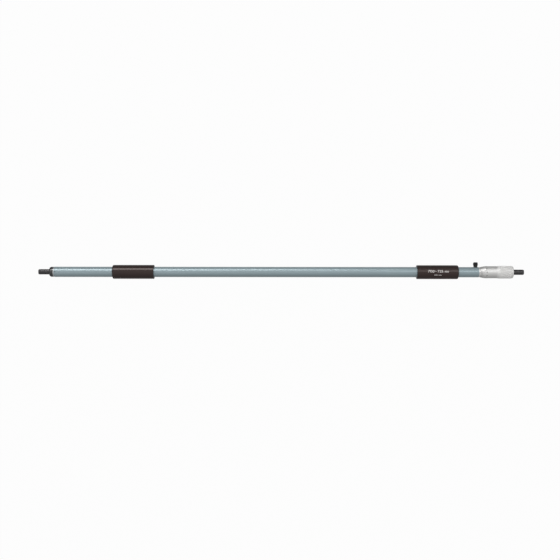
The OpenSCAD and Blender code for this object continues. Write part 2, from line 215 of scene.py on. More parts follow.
# %% From a grid to a solid skin
CREASE = np.radians(35)
SAME_POINT = 2e-7


def meshed(name, points, squares):
    """A mesh of points in metres, where each square names its four corners."""
    mesh = bpy.data.meshes.new(name)
    mesh.from_pydata(points.reshape(-1, 3).tolist(), [], squares.reshape(-1, 4).tolist())
    return mesh


def cleaned(mesh):
    """Merges points that meet, turns the faces outwards, and shades smoothly up to a crease."""
    shell = bmesh.new()
    shell.from_mesh(mesh)
    bmesh.ops.remove_doubles(shell, verts=shell.verts, dist=SAME_POINT)
    bmesh.ops.recalc_face_normals(shell, faces=shell.faces)
    shell.to_mesh(mesh)
    shell.free()
    mesh.shade_smooth()
    mesh.set_sharp_from_angle(angle=CREASE)
    return mesh


print("edges over", round(np.degrees(CREASE)), "degrees stay sharp")

# %% [markdown]
# Turning itself is one formula on the whole grid of stations and angles. Blender's Screw modifier
# would turn a plain outline too, but it can't take a radius that changes with the angle, and the
# knurls will need one.

# %% Turning
FACETS = 128


def skinned(name, points, closed):
    """A mesh over points[row, column]: the columns always close, and the rows where asked."""
    rows, columns = points.shape[:2]
    last_row = rows if closed else rows - 1
    row, column = np.meshgrid(np.arange(last_row), np.arange(columns), indexing="ij")
    below, beside = (row + 1) % rows, (column + 1) % columns
    near, far = row * columns, below * columns
    squares = np.stack([near + column, near + beside, far + beside, far + column], axis=-1)
    return cleaned(meshed(name, points, squares))


def turned(name, stations, radii, axis=along, first=facing, second=knobward, origin=0.0, columns=FACETS):
    """A piece turned about an axis through a station of the measuring axis, as an object.

    point(s, a) = origin + s axis + r(s, a) (cos a first + sin a second), with s and r in millimetres.
    The radii are one for each station, or a whole grid of station and angle.
    """
    angle = np.linspace(0, 2 * np.pi, columns, endpoint=False)
    radii = np.asarray(radii, float)
    radii = radii[:, None] if radii.ndim == 1 else radii
    spine = origin * along + np.asarray(stations)[:, None, None] * axis
    points = spine + radii[:, :, None] * around(angle, first, second)
    return placed(name, skinned(name, points * MM, closed=radii[0].min() > 0))


print("a plain turned piece has", FACETS, "facets round")

# %% [markdown]
# Cross holes and spanner flats are milled after turning. A Boolean modifier does the same with a
# cutter. It is applied at once, so that the finished mesh holds the cut, and the cutter is thrown away.

# %% Milling a hole or a flat
def milled(piece, cutter):
    """Takes the cutter's solid out of a piece for good."""
    cut = piece.modifiers.new("cut", "BOOLEAN")
    cut.operation, cut.solver, cut.object = "DIFFERENCE", "EXACT", cutter
    bpy.context.view_layer.update()
    rough = piece.data
    evaluated = piece.evaluated_get(bpy.context.evaluated_depsgraph_get())
    mesh = bpy.data.meshes.new_from_object(evaluated)
    piece.modifiers.clear()
    mesh.name = rough.name
    piece.data = cleaned(mesh)
    bpy.data.meshes.remove(rough)
    bpy.data.objects.remove(cutter)
    return piece


print("milling takes a cutter out of a piece")

# %% [markdown]
# Two cutters do all the milling here: a drill for the cross holes and a square block for the spanner
# flats. A drill is a turned piece like any other. A block's corners are all the ways to choose a low
# or a high value in three directions, so they come from one grid.

# %% Two cutters
DRILL_FACETS = 48
BOX_SIDES = np.array([(0, 1, 3, 2), (4, 6, 7, 5), (0, 4, 5, 1), (2, 3, 7, 6), (0, 2, 6, 4), (1, 5, 7, 3)])


def drill(station, start, end, radius, axis):
    """A round cutter that stands square to the measuring axis at a station, from start to end."""
    rod = np.array([(start, 0), (start, radius), (end, radius), (end, 0)])
    return turned("cutter", *rod.T, axis, along, np.cross(axis, along), station, DRILL_FACETS)


def block(low, high, turn):
    """A box cutter between two corners of (station, height, depth).

    Height runs towards the knob and depth towards the camera, both turned about the tube by an angle.
    """
    corner = np.array(np.meshgrid(*zip(low, high), indexing="ij")).reshape(3, -1).T
    height = np.cos(turn) * knobward + np.sin(turn) * facing
    depth = np.cos(turn) * facing - np.sin(turn) * knobward
    points = corner @ np.stack([along, height, depth]) * MM
    return placed("cutter", cleaned(meshed("cutter", points, BOX_SIDES)))


print("a drill has", DRILL_FACETS, "facets and a block has", len(BOX_SIDES), "sides")

# %% [markdown]
# On the real instrument a piece is screwed or pressed onto something that moves or stands still. Here
# it rides on a body of the CAD model, takes over from the plain CAD node, and says which finish of the
# record it wants. One helper says all three, so that no piece is forgotten.

# %% Riding on a body
def carried(piece, body, slot, *nodes):
    """Lets a piece move with a body, names its finish, and stands it in for CAD nodes."""
    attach(piece, body)
    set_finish(piece, slot)
    if nodes:
        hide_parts(*nodes)
    print(piece.name, "has", len(piece.data.polygons), "faces and rides on", body)
    return piece


# %% [markdown]
# The tube sets the measuring length. It is drawn steel, enamelled outside, with a hole for the neck
# of the clamp screw and a small one for the pin that keeps the anvil holder in. Rows of points beside
# each hole keep the shading of the cut away from the long plain stretches.

# %% Tube
TUBE_R, TUBE_BORE = 7.35, 5.85
NECK_HOLE, PIN_HOLE, PIN_INSET = 2.95, 0.72, 2.0
HOLE_ROOM, EXTRA_ROWS = 4.0, 0.2
CLAMP_X = joints["clamp_turn"]["pos_m"][0] / MM
front, rear = span("measuring_tube")
PIN_X = front + PIN_INSET

outline = bored(front, rear, TUBE_BORE, CRISP, [
    *broken(front, TUBE_R, 1),
    (front + HOLE_ROOM, TUBE_R, EXTRA_ROWS),
    (CLAMP_X - HOLE_ROOM, TUBE_R, EXTRA_ROWS),
    *broken(rear, TUBE_R, -1),
])
tube = turned("tube", *outline.T)
tube = milled(tube, drill(CLAMP_X, 0, 2 * TUBE_R, NECK_HOLE, knobward))
tube = milled(tube, drill(PIN_X, 0, 2 * TUBE_R, PIN_HOLE, facing))
carried(tube, "frame", "tube_enamel", "measuring_tube")

# %% [markdown]
# The grips keep the warmth of the hands away from the tube. They are moulded plastic sleeves, well
# rounded at the end towards the tip of the instrument and nearly square at the other. The rear one is
# the same sleeve turned round, so one function makes both.

# %% Grips
GRIP_R, GRIP_ROUNDING, GRIP_BEVEL = 10.0, 1.6, 0.25
SLIP = 0.02


def grip(name, round_end, square_end):
    """A sleeve on the tube: a closed outline of bore and outside, rounded at one end."""
    inward = np.sign(square_end - round_end)
    outline = bored(round_end, square_end, TUBE_R + SLIP, EASED, [
        (round_end, GRIP_R, GRIP_ROUNDING),
        (square_end - inward * GRIP_BEVEL, GRIP_R, SOFT),
        (square_end, GRIP_R - GRIP_BEVEL, SOFT),
    ], seam=inward, steps=8)
    return turned(name, *outline.T)


front_grip = grip("grip_front", *span("front_grip"))
rear_grip = grip("grip_rear", *reversed(span("rear_grip")))
carried(front_grip, "frame", "grip_plastic", "front_grip")
carried(rear_grip, "frame", "grip_plastic", "rear_grip")

# %% [markdown]
# The front end is closed by a bright collar with a plug inside the tube, and a pin goes through the
# tube's wall into the plug. The holder is one outline with a blind bore for the anvil's shank. The
# pin is turned about a line that looks at the camera, and its hole is drilled along the same line.

# %% Anvil holder and pin
COLLAR_R, SHANK_BORE, SHANK_ROOM = 7.2, 3.05, 19.0
PLUG_R = TUBE_BORE - SLIP
PIN_R, PIN_CROWN, PIN_FACETS = 0.7, 0.12, 32
PIN_FOOT, PIN_TOP = TUBE_R - 3.2, TUBE_R - SLIP
collar_x, plug_end = span("anvil_holder")
bore_end = collar_x + SHANK_ROOM
outline = softened([
    (bore_end, 0, 0),
    (bore_end, SHANK_BORE, EASED),
    (collar_x, SHANK_BORE, EASED),
    *broken(collar_x, COLLAR_R, 1),
    *broken(front, COLLAR_R, -1),
    (front, PLUG_R, EASED),
    *broken(plug_end, PLUG_R, -1),
    (plug_end, 0, 0),
])
holder = turned("anvil_holder_turned", *outline.T)
holder = milled(holder, drill(PIN_X, PIN_FOOT, 2 * TUBE_R, PIN_HOLE, facing))
carried(holder, "frame", "holder_steel", "anvil_holder")

outline = softened([(PIN_FOOT, 0, 0), (PIN_FOOT, PIN_R, EASED), (PIN_TOP, PIN_R, PIN_CROWN), (PIN_TOP, 0, 0)])
pin = turned("holder_pin_turned", *outline.T, facing, along, knobward, PIN_X, PIN_FACETS)
carried(pin, "frame", "pin_steel", "holder_pin")

# %% [markdown]
# A black domed nut locks the anvil in the holder, and two flats on it take a spanner. The dome is one
# large rounding of the outline. The flats stop short of the holder, so a round rim is left, and they
# stand wherever the nut came to rest when it was tightened.

# %% Lock nut
NUT_R, NUT_DOME, NUT_MOUTH, NUT_SEAM = 7.2, 2.7, 0.15, 0.5
HALF_FLATS, NUT_RIM, NUT_TURN = 6.0, 1.2, np.radians(45)
CUT_CLEAR = 1.0
nut_x, nut_end = span("anvil_lock_nut")
outline = bored(nut_x, nut_end, SHANK_BORE, NUT_MOUTH, [
    (nut_x, NUT_R, NUT_DOME),
    *broken(nut_end, NUT_R, -1),
], NUT_SEAM, steps=10)
lock_nut = turned("lock_nut", *outline.T)
for side in (-1, 1):
    near, far = sorted([side * HALF_FLATS, side * 2 * NUT_R])
    low, high = (nut_x - CUT_CLEAR, -2 * NUT_R, near), (nut_end - NUT_RIM, 2 * NUT_R, far)
    lock_nut = milled(lock_nut, block(low, high, NUT_TURN))
carried(lock_nut, "frame", "black_oxide", "anvil_lock_nut")

# %% [markdown]
# Both anvils are dark hardened steel with a long bevel on the nose, and a carbide tip is let into each.
# A tip's face is part of a large sphere, so that it touches a bore at one point. Its sag at a radius r
# is R - sqrt(R * R - r * r). Both ends share the same two functions, with the direction turned round.

# %% Noses and carbide tips
ANVIL_R, NOSE_BEVEL, NOSE_DEPTH, NOSE_ROUNDING = 3.8, 1.4, 0.35, 0.3
TIP_R, TIP_LENGTH, TIP_PROUD, TIP_EDGE = 2.6, 3.0, 0.3, 0.06
FACE_R, FACE_ROWS = 20.0, 16
NOSE_FACETS = 96
POCKET_R = TIP_R + SLIP


def nose(face, inward):
    """Corners of an anvil's nose from the pocket's floor to the end of the bevel."""
    rim, floor = face + inward * TIP_PROUD, face + inward * TIP_LENGTH
    return [
        (floor, 0, 0),
        (floor, POCKET_R, CRISP),
        (rim, POCKET_R, CRISP),
        (rim, ANVIL_R - NOSE_DEPTH, EASED),
        (rim + inward * NOSE_BEVEL, ANVIL_R, NOSE_ROUNDING),
    ]


def tip(name, face, inward):
    """A carbide tip: a sphere's sag across the face, a broken edge and a plain side."""
    radii = np.linspace(0, TIP_R - TIP_EDGE, FACE_ROWS)
    dome = face + inward * (FACE_R - np.sqrt(FACE_R**2 - radii**2))
    foot = face + inward * TIP_LENGTH
    side = softened([
        (dome[-1], radii[-1], 0),
        (dome[-1] + inward * TIP_EDGE, TIP_R, TIP_EDGE / 2),
        (foot, TIP_R, CRISP),
        (foot, 0, 0),
    ])
    outline = np.concatenate([np.column_stack([dome, radii]), side[1:]])
    return turned(name, *outline.T, columns=NOSE_FACETS)


print("sag of a measuring face:", round(FACE_R - np.sqrt(FACE_R**2 - TIP_R**2), 3), "mm")

# %% [markdown]
# The fixed anvil has a shank that is screwed into the holder through the nut. The outer one is a
# round cap with a socket for the spindle's stud, so it turns with the thimble. Its tip is round and
# shows no turning, so it only slides.

# %% Both anvils
SHOULDER_GAP, SHOULDER_ROUNDING, SHANK_R = 0.2, 0.12, 3.0
SOCKET_R, SOCKET_DEPTH = 2.55, 9.0
face, shank_end = span("fixed_anvil_tip")[0], span("fixed_anvil")[1]
anvil_shoulder = nut_x - SHOULDER_GAP
outline = softened(nose(face, 1) + [
    (anvil_shoulder, ANVIL_R, SHOULDER_ROUNDING),
    (anvil_shoulder, SHANK_R, SOFT),
    *broken(shank_end, SHANK_R, -1),
    (shank_end, 0, 0),
])
anvil_fixed = turned("anvil_fixed", *outline.T, columns=NOSE_FACETS)
carried(anvil_fixed, "frame", "anvil_steel", "fixed_anvil")
carried(tip("tip_fixed", face, 1), "frame", "carbide", "fixed_anvil_tip")

face, cap_end = span("spindle_anvil_tip")[1], span("spindle_anvil")[0]
socket_end = cap_end + SOCKET_DEPTH
outline = softened(nose(face, -1) + [
    (cap_end, ANVIL_R, SHOULDER_ROUNDING),
    (cap_end, SOCKET_R, EASED),
    (socket_end, SOCKET_R, EASED),
    (socket_end, 0, 0),
])
anvil_moving = turned("anvil_moving", *outline.T, columns=NOSE_FACETS)
carried(anvil_moving, "spindle_screw", "anvil_steel", "spindle_anvil")
carried(tip("tip_moving", face, -1), "spindle_slide", "carbide", "spindle_anvil_tip")

# %% [markdown]
# A straight knurl is a ring of V grooves. As a surface it is a radius that swings between tip and root
# with the angle, so it can be worked out for the whole grid at once. Real teeth keep a land on top,
# which a triangle wave gets when it is stretched and cut off. The knob's lands are narrow and the
# thimble's are wide, so the thimble's knurl shines and feels soft.

# %% Teeth of a straight knurl
TOOTH_COLUMNS = 8
ROOT_CUT = 0.15
NARROW_LAND, WIDE_LAND = 1.3, 2.6


def teeth(count, stretch):
    """Height from 0 at a root to 1 at a tip, all the way round, with a tip at angle zero.

    The height is stretch times a triangle wave, less a small cut, kept between 0 and 1.
    """
    share = np.arange(count * TOOTH_COLUMNS) / TOOTH_COLUMNS
    wave = 1 - 2 * np.abs((share + 0.5) % 1 - 0.5)
    return np.clip(stretch * wave - ROOT_CUT, 0, 1)


print("one tooth of the knob:", teeth(1, NARROW_LAND).round(2))
print("one of the thimble:", teeth(1, WIDE_LAND).round(2))

# %% [markdown]
# The clamp screw holds the spindle. Its head is small, knurled and black, with a smooth rounded crown
# and a tapered neck that goes into the tube. The knurl stands on the smooth outline and fades out at
# both ends of the head. Stations are counted from the measuring axis outwards.

# %% Clamp screw
SCREW_FOOT, SCREW_R, SCREW_ROUNDING = 4.485, 2.0, 0.06
NECK_FOOT, NECK_R, NECK_TAPER, NECK_ROUNDING = 6.26, 2.8, 1.0, 0.3
KNOB_TOP, KNOB_HEAD, KNOB_CORE, KNOB_ROUNDING = 14.35, 4.4, 3.15, 1.2
KNOB_RISE, KNOB_TEETH, KNOB_FADE, KNOB_LEAD, KNOB_TAIL = 0.2, 40, 0.3, 0.4, 0.5
head, crown = KNOB_TOP - KNOB_HEAD, KNOB_TOP - KNOB_ROUNDING
outline = softened([
    (SCREW_FOOT, 0, 0),
    *broken(SCREW_FOOT, SCREW_R, 1, SCREW_ROUNDING),
    (NECK_FOOT, SCREW_R, EASED),
    (NECK_FOOT, NECK_R, EASED),
    (head - NECK_TAPER, NECK_R, NECK_ROUNDING),
    (head, KNOB_CORE, EASED),
    (head + KNOB_LEAD, KNOB_CORE, CRISP),
    (crown - KNOB_TAIL, KNOB_CORE, CRISP),
    (KNOB_TOP, KNOB_CORE, KNOB_ROUNDING),
    (KNOB_TOP, 0, 0),
], steps=8)
stations, radii = outline.T
fade = np.clip(np.minimum(stations - head, crown - stations) / KNOB_FADE, 0, 1)
knurled_radii = radii[:, None] + KNOB_RISE * fade[:, None] * teeth(KNOB_TEETH, NARROW_LAND)
knob_columns = KNOB_TEETH * TOOTH_COLUMNS
knob = turned("clamp_knob", stations, knurled_radii, knobward, along, facing, CLAMP_X, knob_columns)
carried(knob, "clamp_screw", "black_oxide", "clamp_screw")

# %% [markdown]
# The sleeve is fixed to the tube and carries the scale of millimetres. At zero only its collar shows,
# and the rest comes out as the thimble is turned. A small blind hole at the back takes the spanner
# that sets the zero.

# %% Sleeve
SLEEVE_R, SLEEVE_BORE, SLEEVE_COLLAR = 6.75, 5.52, 2.2
SPANNER_X, SPANNER_DEPTH, SPANNER_R = 3.0, 0.7, 0.6
collar_start, sleeve_end = span("graduated_sleeve")
collar_end = collar_start + SLEEVE_COLLAR
edge, cap_start = span("thimble")
outline = bored(collar_start, sleeve_end, SLEEVE_BORE, CRISP, [
    *broken(collar_start, COLLAR_R, 1),
    *broken(collar_end, COLLAR_R, -1),
    (collar_end, SLEEVE_R, SOFT),
    (edge + 2 * SPANNER_X, SLEEVE_R, EXTRA_ROWS),
    *broken(sleeve_end, SLEEVE_R, -1),
])
sleeve = turned("sleeve", *outline.T)
hole = drill(edge + SPANNER_X, SLEEVE_R - SPANNER_DEPTH, 2 * SLEEVE_R, SPANNER_R, -facing)
carried(milled(sleeve, hole), "frame", "satin_chrome", "graduated_sleeve")

# %% [markdown]
# The thimble is the screw's handle. It starts as a thin graduated bevel, runs on as a smooth barrel
# and ends in a knurled band. Inside it is a wide bore as far as a wall, which is bored for the
# spindle. The two plain stretches are outlines like those above, and start and stop in the bore.

# %% Thimble, outside and inside
THIMBLE_R, THIMBLE_BORE, EDGE_R, BEVEL, BEVEL_ROUNDING = 8.65, 6.95, 7.35, 6.4, 0.25
KNURL_LENGTH, CAP_R, CAP_STEP = 21.2, 8.7, 0.15
SEAT_BORE, WALL, WALL_ROUNDING = 3.02, 5.5, 0.2
SEAM_DEPTH, SEAM = 10.0, 1.0
knurl_start, knurl_end_r = cap_start - KNURL_LENGTH, CAP_R - CAP_STEP
bevel_end, wall_x, seam_x = edge + BEVEL, cap_start - WALL, edge + SEAM_DEPTH
barrel = softened([
    (seam_x, THIMBLE_BORE, 0),
    (edge, THIMBLE_BORE, SOFT),
    (edge, EDGE_R, EASED),
    (bevel_end, THIMBLE_R, BEVEL_ROUNDING),
    (knurl_start, THIMBLE_R, 0),
])
inside = softened([
    (cap_start, knurl_end_r, 0),
    (cap_start, SEAT_BORE, EASED),
    (wall_x, SEAT_BORE, EASED),
    (wall_x, THIMBLE_BORE, WALL_ROUNDING),
    (seam_x + SEAM, THIMBLE_BORE, 0),
])[1:]
print("outside has", len(barrel), "rows and inside", len(inside))

# %% [markdown]
# The band's teeth run into a shallow cone where they begin and are turned down to the cap where they
# end, so each radius there is the smaller of the cones and the tooth. The smooth rows are repeated
# for every column, and the three stretches make one grid and one closed skin.

# %% Thimble with its knurled band
KNURL_TIP, KNURL_ROOT, KNURL_TEETH = 9.05, 8.82, 72
LEAD_SLOPE, LEAD_LENGTH, LEAD_ROWS = 0.4 / 4.5, 7.5, 31
END_LENGTH, END_ROWS = 0.6, 13
lead = knurl_start + np.linspace(0, LEAD_LENGTH, LEAD_ROWS)
end = cap_start - np.linspace(END_LENGTH, 0, END_ROWS)
knurled = np.concatenate([lead, end])
lead_cone = THIMBLE_R + LEAD_SLOPE * (knurled - knurl_start)
limit = np.minimum(lead_cone, knurl_end_r + cap_start - knurled)
tooth = teeth(KNURL_TEETH, WIDE_LAND)
toothed = np.minimum(limit[:, None], KNURL_ROOT + (KNURL_TIP - KNURL_ROOT) * tooth)
smooth = [np.repeat(part[:, 1:], len(tooth), axis=1) for part in (barrel, inside)]
radii = np.concatenate([smooth[0], toothed, smooth[1]])
stations = np.concatenate([barrel[:, 0], knurled, inside[:, 0]])
thimble = turned("thimble_turned", stations, radii, columns=len(tooth))
carried(thimble, "spindle_screw", "satin_chrome", "thimble")

# %% [markdown]
# A bevelled cap closes the thimble and holds it on the spindle. It is a short bored ring, and its
# bevel is wide enough to catch the light, so its two edges are rounded a little more than others.

# %% Cap
CAP_BORE, CAP_BEVEL, CAP_ROUNDING, CAP_SEAM = 2.55, 0.9, 0.2, 0.2
outline = bored(cap_start, cap_end, CAP_BORE, CRISP, [
    (cap_start, CAP_R, SOFT),
    (cap_end - CAP_BEVEL, CAP_R, CAP_ROUNDING),
    (cap_end, CAP_R - CAP_BEVEL, CAP_ROUNDING),
], CAP_SEAM)
carried(turned("cap", *outline.T), "spindle_screw", "satin_chrome", "thimble_cap")

# %% [markdown]
# Graduations are cut and filled with ink. Each is a thin closed slab that stands a hair out of the
# metal, which stays crisp at any distance, unlike a line painted by a texture. A slab is a small
# rectangle of station and height carried over an angle.

# %% Graduation marks
PROUD, SUNK = 0.012, 0.03


def marks(name, stations, angles, radius_at, steps):
    """Slabs between pairs of stations and pairs of angles on a turned surface.

    point = s along + (R(s) + h)(cos a facing + sin a knobward), where (s, h) goes round a rectangle
    and a runs from the first angle to the second in equal steps.
    """
    angle = angles[:, :1] + (angles[:, 1:] - angles[:, :1]) * np.linspace(0, 1, steps + 1)
    station = stations[:, [0, 1, 1, 0]]
    radius = radius_at(station) + np.array([-SUNK, -SUNK, PROUD, PROUD])
    points = station[:, None, :, None] * along + radius[:, None, :, None] * around(angle)[:, :, None]
    first = np.arange(len(points))[:, None, None] * 4 * (steps + 1)
    ring, step = np.arange(4), np.arange(steps)[:, None] * 4
    beside = (ring + 1) % 4
    sides = np.stack([step + ring, step + beside, step + 4 + beside, step + 4 + ring], axis=-1)
    ends = np.stack([ring, 4 * steps + ring])
    squares = first + np.concatenate([sides.reshape(-1, 4), ends])
    return placed(name, cleaned(meshed(name, points * MM, squares)))


print("marks stand", PROUD, "mm proud")

# %% [markdown]
# The thimble's bevel is divided into fifty, with a longer line at every fifth division. One turn feeds
# the spindle by half a millimetre, so a division is a hundredth. The lines follow the bevel, whose
# radius grows evenly from the edge.

# %% Lines on the thimble
DIVISIONS, FIGURED = 50, 5
LINE, LINE_START, LONG_LINE, SHORT_LINE = 0.17, 0.2, 4.6, 2.9
LINE_R = EDGE_R + 0.4
division = np.arange(DIVISIONS)
line_start = np.full(DIVISIONS, edge + LINE_START)
length = np.where(division % FIGURED == 0, LONG_LINE, SHORT_LINE)
centre, half_line = 2 * np.pi * division / DIVISIONS, LINE / 2 / LINE_R
lines = marks(
    "thimble_lines",
    np.column_stack([line_start, line_start + length]),
    np.column_stack([centre - half_line, centre + half_line]),
    lambda station: EDGE_R + (station - edge) * (THIMBLE_R - EDGE_R) / BEVEL,
    steps=1,
)
carried(lines, "spindle_screw", "satin_chrome")

# %% [markdown]
# The sleeve's scale has a long datum line with a mark at every millimetre above it and at every half
# millimetre below. Zero lies where the thimble's edge stands now, so the scale comes into sight as the
# thimble moves out. The datum starts on the collar, where it can be read at any setting.

# %% Sleeve scale
TRAVEL = 25
FIFTH_MARK, WHOLE_MARK, HALF_MARK, HALF_WIDTH = 2.6, 1.7, -1.5, 0.06
DATUM_BEFORE, DATUM_PAST, COLLAR_INSET, DATUM_ANGLE = 0.2, 0.6, 0.5, 0.012
half_millimetres = np.arange(2 * TRAVEL + 1)
whole, fifth = half_millimetres % 2 == 0, half_millimetres % (2 * FIGURED) == 0
reach = np.where(fifth, FIFTH_MARK, np.where(whole, WHOLE_MARK, HALF_MARK)) / SLEEVE_R
mark_angles = np.sort(np.column_stack([np.zeros(len(reach)), reach]), axis=1)
place = edge + half_millimetres / 2
mark_stations = np.column_stack([place - HALF_WIDTH, place + HALF_WIDTH])
datum = [
    [edge - DATUM_BEFORE, edge + TRAVEL + DATUM_PAST],
    [collar_start + COLLAR_INSET, collar_end - COLLAR_INSET],
]
scale = marks(
    "sleeve_scale",
    np.concatenate([mark_stations, datum]),
    np.concatenate([mark_angles, [[-DATUM_ANGLE, DATUM_ANGLE]] * len(datum)]),
    lambda station: np.where(station < collar_end, COLLAR_R, SLEEVE_R),
    steps=8,
)
carried(scale, "frame", "satin_chrome")

# %% [markdown]
# Figures start as flat text, which Blender draws with its own plain font. The text is made a mesh,
# brought to size, and cut into narrow strips so that it can bend without folding.

# %% Flat figures
STRIP = 0.25
HALF_DEPTH, CURVE_STEPS, TEXT_WELD = 0.5, 3, 1e-4


def coordinates(mesh):
    """All points of a mesh, one row of x, y and z each."""
    points = np.empty(3 * len(mesh.vertices))
    mesh.vertices.foreach_get("co", points)
    return points.reshape(-1, 3)


def figures(text, width, height):
    """A text as a closed slab with x and y in millimetres about its centre, and z from 0 to 1."""
    curve = bpy.data.curves.new("figures", "FONT")
    curve.body, curve.extrude, curve.resolution_u = text, HALF_DEPTH, CURVE_STEPS
    flat = placed("figures", curve)
    bpy.context.view_layer.update()
    mesh = bpy.data.meshes.new_from_object(flat.evaluated_get(bpy.context.evaluated_depsgraph_get()))
    bpy.data.objects.remove(flat)
    points = coordinates(mesh)
    low, high = points.min(0), points.max(0)
    points[:, :2] = (points[:, :2] - (low + high)[:2] / 2) * (width, height) / (high - low)[:2]
    points[:, 2] += HALF_DEPTH
    mesh.vertices.foreach_set("co", points.ravel())
    slab = bmesh.new()
    slab.from_mesh(mesh)
    bmesh.ops.remove_doubles(slab, verts=slab.verts, dist=TEXT_WELD)
    for level in np.arange(-height / 2 + STRIP, height / 2, STRIP):
        everything = slab.verts[:] + slab.edges[:] + slab.faces[:]
        bmesh.ops.bisect_plane(slab, geom=everything, plane_co=(0, level, 0), plane_no=(0, 1, 0))
    slab.to_mesh(mesh)
    slab.free()
    return mesh


print("figures are cut into strips of", STRIP, "mm")

# %% [markdown]
# On the instrument the figures are engraved or printed on a round surface. Each point of the flat text
# is wrapped by one formula: its height becomes an angle and its depth a radius. A Simple Deform
# modifier bends text too, but it would need turning and placing afterwards.

# %% Figures wrapped round a piece
def wrapped(name, rows, radius):
    """Figures on a cylinder as one object; each row is (text, width, height, station, angle).

    point = (station + x) along + (radius + h)(cos b facing + sin b knobward), b = angle + y / radius.
    """
    gathered = bmesh.new()
    for text, width, height, station, angle in rows:
        mesh = figures(text, width, height)
        x, y, z = coordinates(mesh).T
        level = radius - SUNK + (SUNK + PROUD) * z
        points = (station + x)[:, None] * along + level[:, None] * around(angle + y / radius)
        mesh.vertices.foreach_set("co", (points * MM).ravel())
        gathered.from_mesh(mesh)
        bpy.data.meshes.remove(mesh)
    mesh = bpy.data.meshes.new(name)
    gathered.to_mesh(mesh)
    gathered.free()
    return placed(name, cleaned(mesh))


THIMBLE_DIGIT, THIMBLE_HEIGHT, THIMBLE_GAP = 1.25, 1.9, 2.0
SLEEVE_DIGIT, SLEEVE_HEIGHT, SLEEVE_LIFT, FIRST_PLACE = 1.0, 1.5, 3.6, 0.8
thimble_rows = [
    (str(n), THIMBLE_DIGIT * len(str(n)), THIMBLE_HEIGHT, bevel_end + THIMBLE_GAP, 2 * np.pi * n / DIVISIONS)
    for n in range(0, DIVISIONS, FIGURED)
]
sleeve_rows = [
    (str(n), SLEEVE_DIGIT * len(str(n)), SLEEVE_HEIGHT, edge + max(n, FIRST_PLACE), SLEEVE_LIFT / SLEEVE_R)
    for n in range(0, TRAVEL + 1, FIGURED)
]
carried(wrapped("thimble_figures", thimble_rows, THIMBLE_R), "spindle_screw", "satin_chrome")
carried(wrapped("sleeve_figures", sleeve_rows, SLEEVE_R), "frame", "satin_chrome")

# %% [markdown]
# The rear grip says in white what the instrument measures: the range, and under it the smallest
# division. They are plain figures, printed on the side that faces the user. A row is a text, its
# width and height, the station of its middle, and its angle round the grip.

# %% Print on the rear grip
print_rows = [
    ("700", 9.2, 3.5, 565.0, 0.12),
    ("-", 1.6, 0.5, 571.4, 0.12),
    ("725", 7.8, 3.5, 578.2, 0.12),
    ("mm", 5.7, 2.3, 587.3, 0.055),
    ("0.01 mm", 10.3, 2.1, 574.9, -0.43),
]
carried(wrapped("grip_print", print_rows, GRIP_R), "frame", "grip_plastic")

# %% [markdown]
# A finish is a shader fed by a few patterns. Writing the sums as Python expressions keeps them
# readable, so one small class stands for a socket and turns each sign into a Math node. Every other
# node comes from its one method.

# %% Shader maths as expressions
class Field:
    """A socket that Python's signs work on."""

    def __init__(self, tree, socket=None):
        self.tree, self.socket = tree, socket

    def node(self, kind, settings, sockets, out=0):
        """Adds a node: settings first, then a value or a link for each socket; gives one output."""
        made = self.tree.nodes.new("ShaderNode" + kind)
        for name, value in settings.items():
            setattr(made, name, value)
        for name, value in sockets.items():
            if isinstance(value, Field):
                self.tree.links.new(value.socket, made.inputs[name])
            else:
                made.inputs[name].default_value = value
        return Field(self.tree, made.outputs[out])

    def math(self, operation, first, second):
        """A Math node on two values or fields."""
        return self.node("Math", {"operation": operation}, {0: first, 1: second})

    def __add__(self, other):
        return self.math("ADD", self, other)

    def __sub__(self, other):
        return self.math("SUBTRACT", self, other)

    def __rsub__(self, other):
        return self.math("SUBTRACT", other, self)

    def __mul__(self, other):
        return self.math("MULTIPLY", self, other)

    __radd__, __rmul__ = __add__, __mul__


print("signs that make nodes: + - *")

# %% [markdown]
# Real finishes are never one flat colour, so each is built from the same three tools: a cloudy noise
# on the piece's own coordinates, a colour between two others, and a relief that bends the light. What
# is the same all over a piece is set on the shader itself.

# %% Patterns and finishes
def noise(place, scale, detail=2.0, stretch=(1.0, 1.0, 1.0)):
    """Cloudy values about 0.5 at a place, with so many spots to the metre, stretched where asked."""
    spread = place.node("Mapping", {}, {"Vector": place, "Scale": stretch})
    return place.node("TexNoise", {}, {"Vector": spread, "Scale": scale, "Detail": detail}, "Fac")


def mixed(place, factor, first, second):
    """A colour between two others."""
    return place.node("Mix", {"data_type": "RGBA"}, {0: factor, 6: (*first, 1), 7: (*second, 1)}, 2)


def relief(place, height, depth, strength=0.5):
    """A bent normal from a height field, with its depth in metres."""
    return place.node("Bump", {}, {"Height": height, "Distance": depth, "Strength": strength}, "Normal")


def finished(name, constant, pattern):
    """A material: constant sockets set directly, and a pattern function that gives the varying ones."""
    material = bpy.data.materials.new(name)
    material.use_nodes = True
    tree = material.node_tree
    shader = tree.nodes["Principled BSDF"]
    for socket, value in constant.items():
        shader.inputs[socket].default_value = value
    place = Field(tree).node("TexCoord", {}, {}, "Object")
    for socket, value in pattern(place).items():
        tree.links.new(value.socket, shader.inputs[socket])
    print("finish", name, "has", len(tree.nodes), "nodes")
    return material


print("finishes are made from noise, mixed colours and relief")

# %% [markdown]
# Baked enamel is smooth but never flat: it keeps a soft orange peel and a faint speckle of pigment.
# Moulded plastic has a fine grain that breaks up its gloss. Both come from noise at a real size, a
# spot or more to the millimetre. A picture would have to be unwrapped onto the tube, and noise has not.

